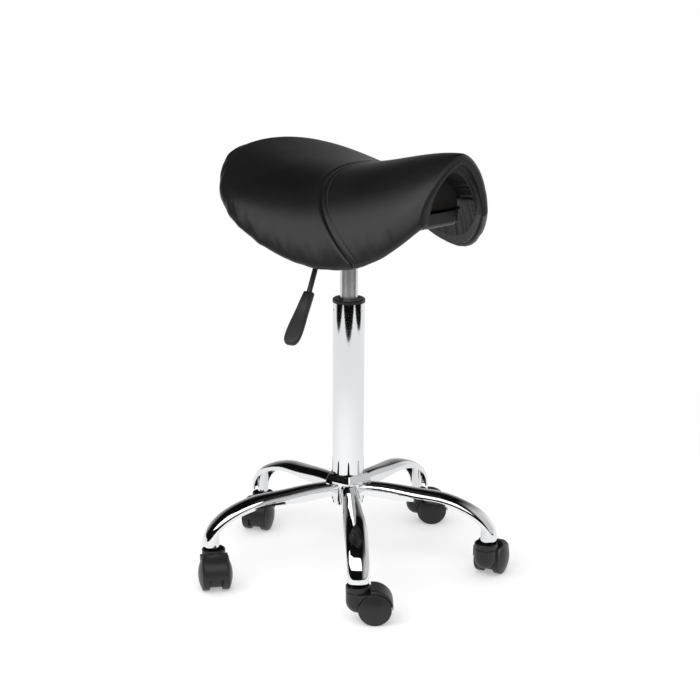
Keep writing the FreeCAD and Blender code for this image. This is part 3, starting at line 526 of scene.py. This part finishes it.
def rolled_edge(outer_edge, inner_edge):
    """Half circles hanging between two edges: centre + arm cos t + down radius sin t."""
    angle = np.linspace(0, math.pi, ROLL_STEPS + 2)[1:-1]
    centre = (outer_edge + inner_edge) / 2
    arm = (outer_edge - inner_edge) / 2
    radius = np.linalg.norm(arm, axis=-1, keepdims=True)
    down = np.zeros_like(arm)
    down[..., 2] = -1.0
    return (centre[:, None] + arm[:, None] * np.cos(angle)[None, :, None]
            + down[:, None] * (radius[:, None] * np.sin(angle)[None, :, None]))


def rear_outline(x):
    """Forward place of the plan's rear outline at x from the middle: the superellipse turned round."""
    s = SEAT
    inside = np.clip(1 - (np.abs(x) / s["half"]) ** s["rear_plan"], 0.0, 1.0)
    return s["widest"] - (s["rear"] + s["widest"]) * inside ** (1 / s["rear_plan"])


def thin_rear_rim(loop):
    """Presses the rear rim into a lens: heights over the rim's own shrink by a quarter circle of its length."""
    rim = np.clip((-loop[..., 1] - rear_outline(loop[..., 0])) / RIM["length"], 0.0, 1.0)
    thin = np.maximum(np.sqrt(1 - (1 - rim) ** 2), RIM["thinnest"])
    reach = 1 - step(np.abs(loop[..., 0]), *RIM["fades"])
    loop[..., 2] = RIM["height"] + (loop[..., 2] - RIM["height"]) * (1 - reach * (1 - thin))


def partner(loop, width):
    """For each point of a section's loop, the point across the cloth's thickness from it."""
    out = np.empty_like(loop)
    a, b = width, width + ROLL_STEPS
    c = b + width
    out[:a] = loop[b:c][::-1]
    out[b:c] = loop[:a][::-1]
    out[a:b] = loop[a:b][::-1]
    out[c:] = loop[c:][::-1]
    return out


def end_cap(last, width, front_panel):
    """Rows that close a loop by a half round: centre + arm cos t + push depth sin t, flatter at the edges."""
    centre = (last + partner(last, width)) / 2
    arm = last - centre
    radius = np.linalg.norm(arm, axis=-1, keepdims=True)
    push = np.zeros_like(arm)
    push[..., 1] = -1.0 if front_panel else 1.0
    arch, at_edge = np.abs(np.sin(TURNS)), np.ones(ROLL_STEPS)
    towards_edge = np.concatenate([arch, at_edge, arch, at_edge])[:, None]
    depth = np.minimum(radius, SEAT["roll"] if front_panel else 0.1) * (1 - 0.9 * towards_edge ** 6)
    bend = np.linspace(0, math.pi / 2, CAP_STEPS + 1)[1:]
    return np.concatenate([centre + arm * math.cos(t) + push * depth * math.sin(t) for t in bend])


def web_faces(columns, width, start):
    """Quads across a section's loop, from the outside to the inside."""
    index = np.arange(width - 1)
    back = width + ROLL_STEPS + width - 1 - index
    arch = np.stack([index, index + 1, back - 1, back], -1)
    turn = np.arange((ROLL_STEPS + 1) // 2)
    rolls = []
    for first, last in ((width - 1, width + ROLL_STEPS), (2 * width + ROLL_STEPS - 1, columns)):
        rolls.append(np.stack([(first + turn) % columns, (first + turn + 1) % columns,
                               (last - turn - 1) % columns, (last - turn) % columns], -1))
    return np.concatenate([arch] + rolls) + start


def panel(name, forwards, front_panel):
    """One cover panel as a closed form: outside, rolled edges, turned-in cloth inside, and both ends.

    Each row lies at forward places that depend on the turn, so the first row runs along the seam. A section's
    loop goes over the outside, round the right roll by a half circle, back along the inside and round the left
    roll. The seam's end closes by a flat web, the far end by a half round and a web.
    """
    width = len(TURNS)
    turn = np.broadcast_to(TURNS, forwards.shape)
    seam_gap = gap_from_seam(forwards)
    plain = outer_point(forwards, turn)
    edges = free_edges(forwards, plain, front_panel)
    outside = dressed_outside(plain, forwards, seam_gap, edges, front_panel)
    inside = turned_in_inside(forwards, turn, seam_gap, edges)
    right = rolled_edge(outside[:, -1], inside[:, -1])
    left = rolled_edge(outside[:, 0], inside[:, 0])
    loop = np.concatenate([outside, right, inside[:, ::-1], left[:, ::-1]], 1)
    if not front_panel:
        thin_rear_rim(loop)

    columns = loop.shape[1]
    rows = loop.shape[0] + CAP_STEPS
    points = np.concatenate([loop.reshape(-1, 3), end_cap(loop[-1], width, front_panel)])
    lined = np.zeros(columns, int)
    lined[width + ROLL_STEPS - LINING_ON_ROLL:2 * width + ROLL_STEPS + LINING_ON_ROLL] = 1
    webs = [web_faces(columns, width, 0), web_faces(columns, width, (rows - 1) * columns)]
    faces = np.concatenate([grid_faces(rows, columns, closed_columns=True)] + webs)
    face_material = np.zeros(len(faces), int)
    face_material[:(rows - 1) * columns] = np.tile(lined, rows - 1)
    made = make_mesh(name, points, faces, [finishes["leatherette"], turned_in], "seat", face_material)
    weld(made)
    return made


def seam_rows(seam, end):
    """Forward places from the seam to an end: fine steps by the seam, coarser later, closing at the end."""
    near = seam[None, :] + np.sign(end) * SEAM_STEPS[:, None]
    rest = np.sin(np.linspace(0, 1, 92)[1:] * math.pi / 2)
    last = near[-1][None, :]
    far = last + (end - last) * rest[:, None]
    return np.concatenate([near, far], 0)


seam = seam_forward(TURNS)
front_end = SEAT["front"] - SEAT["roll"] - SEAT["front_slant"] * np.sin(TURNS) ** 2
rear_end = np.full_like(seam, -(SEAT["rear"] - SEAT["rear_gap"]))
front_cover = panel("front_cover", seam_rows(seam, front_end), True)
rear_cover = panel("rear_cover", seam_rows(seam, rear_end), False)
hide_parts("cover_front_panel")
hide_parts("cover_rear_panel", "seat_foam")


def topstitch():
    """Stitches along a line ahead of the seam: small capsules lying on the cloth, end to end with gaps.

    A ring's point is middle + along ring stitch / 2 + out (sink + raised + thick girth sin t) + side thick
    girth cos t, with six points to a ring.
    """
    pitch, stitch, thick, raised = 4.4, 3.2, 0.42, 0.15
    turns = np.linspace(-1.5, 1.5, 900)
    ahead = CLOTH["stitches_at"] / SEAM_PLANE_SCALE
    line = outer_point(seam_forward(turns, ahead), turns)
    back = outer_point(seam_forward(turns, ahead - 2.0), turns)
    length = line_length(line)
    starts = np.arange(4.0, length[-1] - 6.0, pitch)
    middles = starts + stitch / 2

    def at(values, curve):
        return np.stack([np.interp(values, length, curve[:, k]) for k in range(3)], -1)

    place = at(middles, line)
    along = at(starts + stitch, line) - at(starts, line)
    along /= np.linalg.norm(along, axis=1, keepdims=True)
    side = at(middles, back) - place
    out = np.cross(along, side)
    out /= np.linalg.norm(out, axis=1, keepdims=True)
    out *= np.sign(out[:, 2:3] + 0.5 * np.sign(out[:, 0:1]) * np.sign(place[:, 0:1]) + 1e-6)
    side = np.cross(out, along)
    rings = np.array([-1.0, -0.86, -0.4, 0.4, 0.86, 1.0])
    girth = np.array([0.05, 0.7, 1.0, 1.0, 0.7, 0.05])
    sink = np.array([-0.5, -0.12, 0.1, 0.1, -0.12, -0.5])
    angle = np.linspace(0, 2 * math.pi, 7)[:-1]
    spots = (place[:, None, None] + along[:, None, None] * (rings * stitch / 2)[None, :, None, None]
             + out[:, None, None] * (sink[None, :, None, None] + raised
                                     + thick * (girth[:, None] * np.sin(angle))[None, :, :, None])
             + side[:, None, None] * (thick * (girth[:, None] * np.cos(angle)))[None, :, :, None])
    one = grid_faces(len(rings), len(angle), closed_columns=True)
    size = len(rings) * len(angle)
    faces = (one[None] + (np.arange(len(place)) * size)[:, None, None]).reshape(-1, 4)
    cap = np.array([[0, 1, 2, 3], [0, 3, 4, 5]])
    caps = np.concatenate([cap, cap + (len(rings) - 1) * len(angle)])
    more = (caps[None] + (np.arange(len(place)) * size)[:, None, None]).reshape(-1, 4)
    made = make_mesh("topstitch", spots.reshape(-1, 3), np.concatenate([faces, more]), [seam_thread], "seat")
    weld(made, 0.000001)


topstitch()


# ---- Camera, floor and light

def place_camera():
    """A long lens 2.4 m from the stool's axis and 1 m up, looking 15 degrees down, a little rolled."""
    sensor, photo_width, focal_pixels = 36.0, 700.0, 1621.18
    turn = math.radians(-44.55)

    round_axis = Matrix.Rotation(turn, 3, "Z")
    eye = round_axis @ Vector((0.0, -2.44347, 1.01182))
    aim = round_axis @ Vector((0.002176, 0.0, 0.35539))
    ahead = (aim - eye).normalized()
    right = ahead.cross(Vector((0, 0, 1))).normalized()
    up = right.cross(ahead)
    roll = math.radians(0.3475)
    right, up = (right * math.cos(roll) + up * math.sin(roll), up * math.cos(roll) - right * math.sin(roll))
    data = bpy.data.cameras.new("camera")
    data.sensor_fit = "HORIZONTAL"
    data.sensor_width = sensor
    data.lens = sensor * focal_pixels / photo_width
    camera = bpy.data.objects.new("camera", data)
    spin = Matrix((right, up, -ahead)).transposed().to_4x4()
    camera.matrix_world = Matrix.Translation(eye) @ spin
    bpy.context.scene.collection.objects.link(camera)
    bpy.context.scene.camera = camera
    return eye


eye = place_camera()
towards = Vector((eye.x, eye.y, 0)).normalized()
sideways = Vector((-towards.y, towards.x, 0))


def floor_sheet():
    """White paper under the stool: short towards the viewer, long behind, glowing where it is far."""
    material, graph, where = new_material("white_paper")
    fibres = graph.noise(where, 240.0, 2.0)
    tone = graph.blend(fibres, rgb(0.93, 0.93, 0.93), rgb(0.95, 0.95, 0.95))
    paper = graph.node("ShaderNodeBsdfPrincipled", {}, {"Base Color": tone, "Roughness": 0.7 + fibres * 0.1,
                                                       "Specular IOR Level": 0.1})
    glow = graph.node("ShaderNodeEmission", {}, {"Color": rgb(1, 1, 1), "Strength": 1.0})
    seen = graph.node("ShaderNodeLightPath")
    shown = graph.math("MAXIMUM", graph.math("MAXIMUM", seen, seen.output("Is Glossy Ray")),
                       seen.output("Is Transmission Ray"))
    away = graph.node("ShaderNodeVectorMath", {"operation": "LENGTH"}, {0: where}, "Value")
    glowing = shown * (0.32 + 0.68 * graph.smooth(away, 0.6, 1.5))
    mixed = graph.node("ShaderNodeMixShader", {}, {0: glowing, 1: paper, 2: glow})
    graph.node("ShaderNodeOutputMaterial", {}, {"Surface": mixed})
    near, far, near_half, far_half = 1.45, 6.0, 1.25, 3.0
    corners = [towards * near + sideways * near_half, towards * near - sideways * near_half,
               -towards * far - sideways * far_half, -towards * far + sideways * far_half]
    mesh = bpy.data.meshes.new("floor")
    mesh.from_pydata([tuple(c) for c in corners], [], [(0, 1, 2, 3)])
    mesh.materials.append(material)
    mesh.update()
    sheet = bpy.data.objects.new("floor", mesh)
    bpy.context.scene.collection.objects.link(sheet)


def studio_world():
    """White for the eye and for soft light. A mirror sees a dark room, with a grey wall on the right, a darker
    one at the back and a white floor far away.
    """
    world = bpy.data.worlds.new("studio")
    bpy.context.scene.world = world
    world.use_nodes = True
    graph = Graph(world.node_tree)
    direction = graph.node("ShaderNodeTexCoord")
    x = graph.node("ShaderNodeSeparateXYZ", {}, {"Vector": direction})
    y, height = x.output("Y"), x.output("Z")
    facing = x * towards.x + y * towards.y
    across = x * sideways.x + y * sideways.y
    upper = graph.smooth(height, -0.02, 0.04)
    right_wall = graph.smooth(across, 0.35, 0.65) * (1.0 - graph.smooth(height, 0.80, 0.97)) * 0.70
    back_wall = graph.smooth(facing, -0.45, -0.75) * (1.0 - graph.smooth(height, 0.12, 0.55)) * 0.42
    far_floor = (1.0 - upper) * graph.smooth(facing, 0.0, -0.3)
    level = graph.math("MINIMUM", upper * (right_wall + back_wall) + far_floor + 0.004, 1.0)
    glossy = graph.node("ShaderNodeLightPath", output="Is Glossy Ray")
    strength = glossy * level + (1.0 - glossy)
    background = graph.node("ShaderNodeBackground", {}, {"Color": rgb(1, 1, 1), "Strength": strength})
    graph.node("ShaderNodeOutputWorld", {}, {"Surface": background})


def soft_lamp(name, turn):
    """A square lamp before the stool, turned about its axis from the viewer's side and aimed at the seat."""
    distance, height, size, power = 0.85, 0.95, 0.80, 4.4
    aim = Vector((0, 0, 0.62))
    angle = math.radians(turn)
    place = (towards * math.cos(angle) + sideways * math.sin(angle)) * distance + Vector((0, 0, height))
    data = bpy.data.lights.new(name, "AREA")
    data.shape = "SQUARE"
    data.size = size
    data.energy = power
    lamp = bpy.data.objects.new(name, data)
    back = (place - aim).normalized()
    lamp.matrix_world = Matrix.Translation(place) @ back.to_track_quat("Z", "Y").to_matrix().to_4x4()
    bpy.context.scene.collection.objects.link(lamp)
    lamp.visible_camera = False


floor_sheet()
studio_world()
soft_lamp("key_front", 0.0)
soft_lamp("key_left", -48.0)

bpy.context.scene.view_settings.view_transform = "Standard"
bpy.context.view_layer.update()
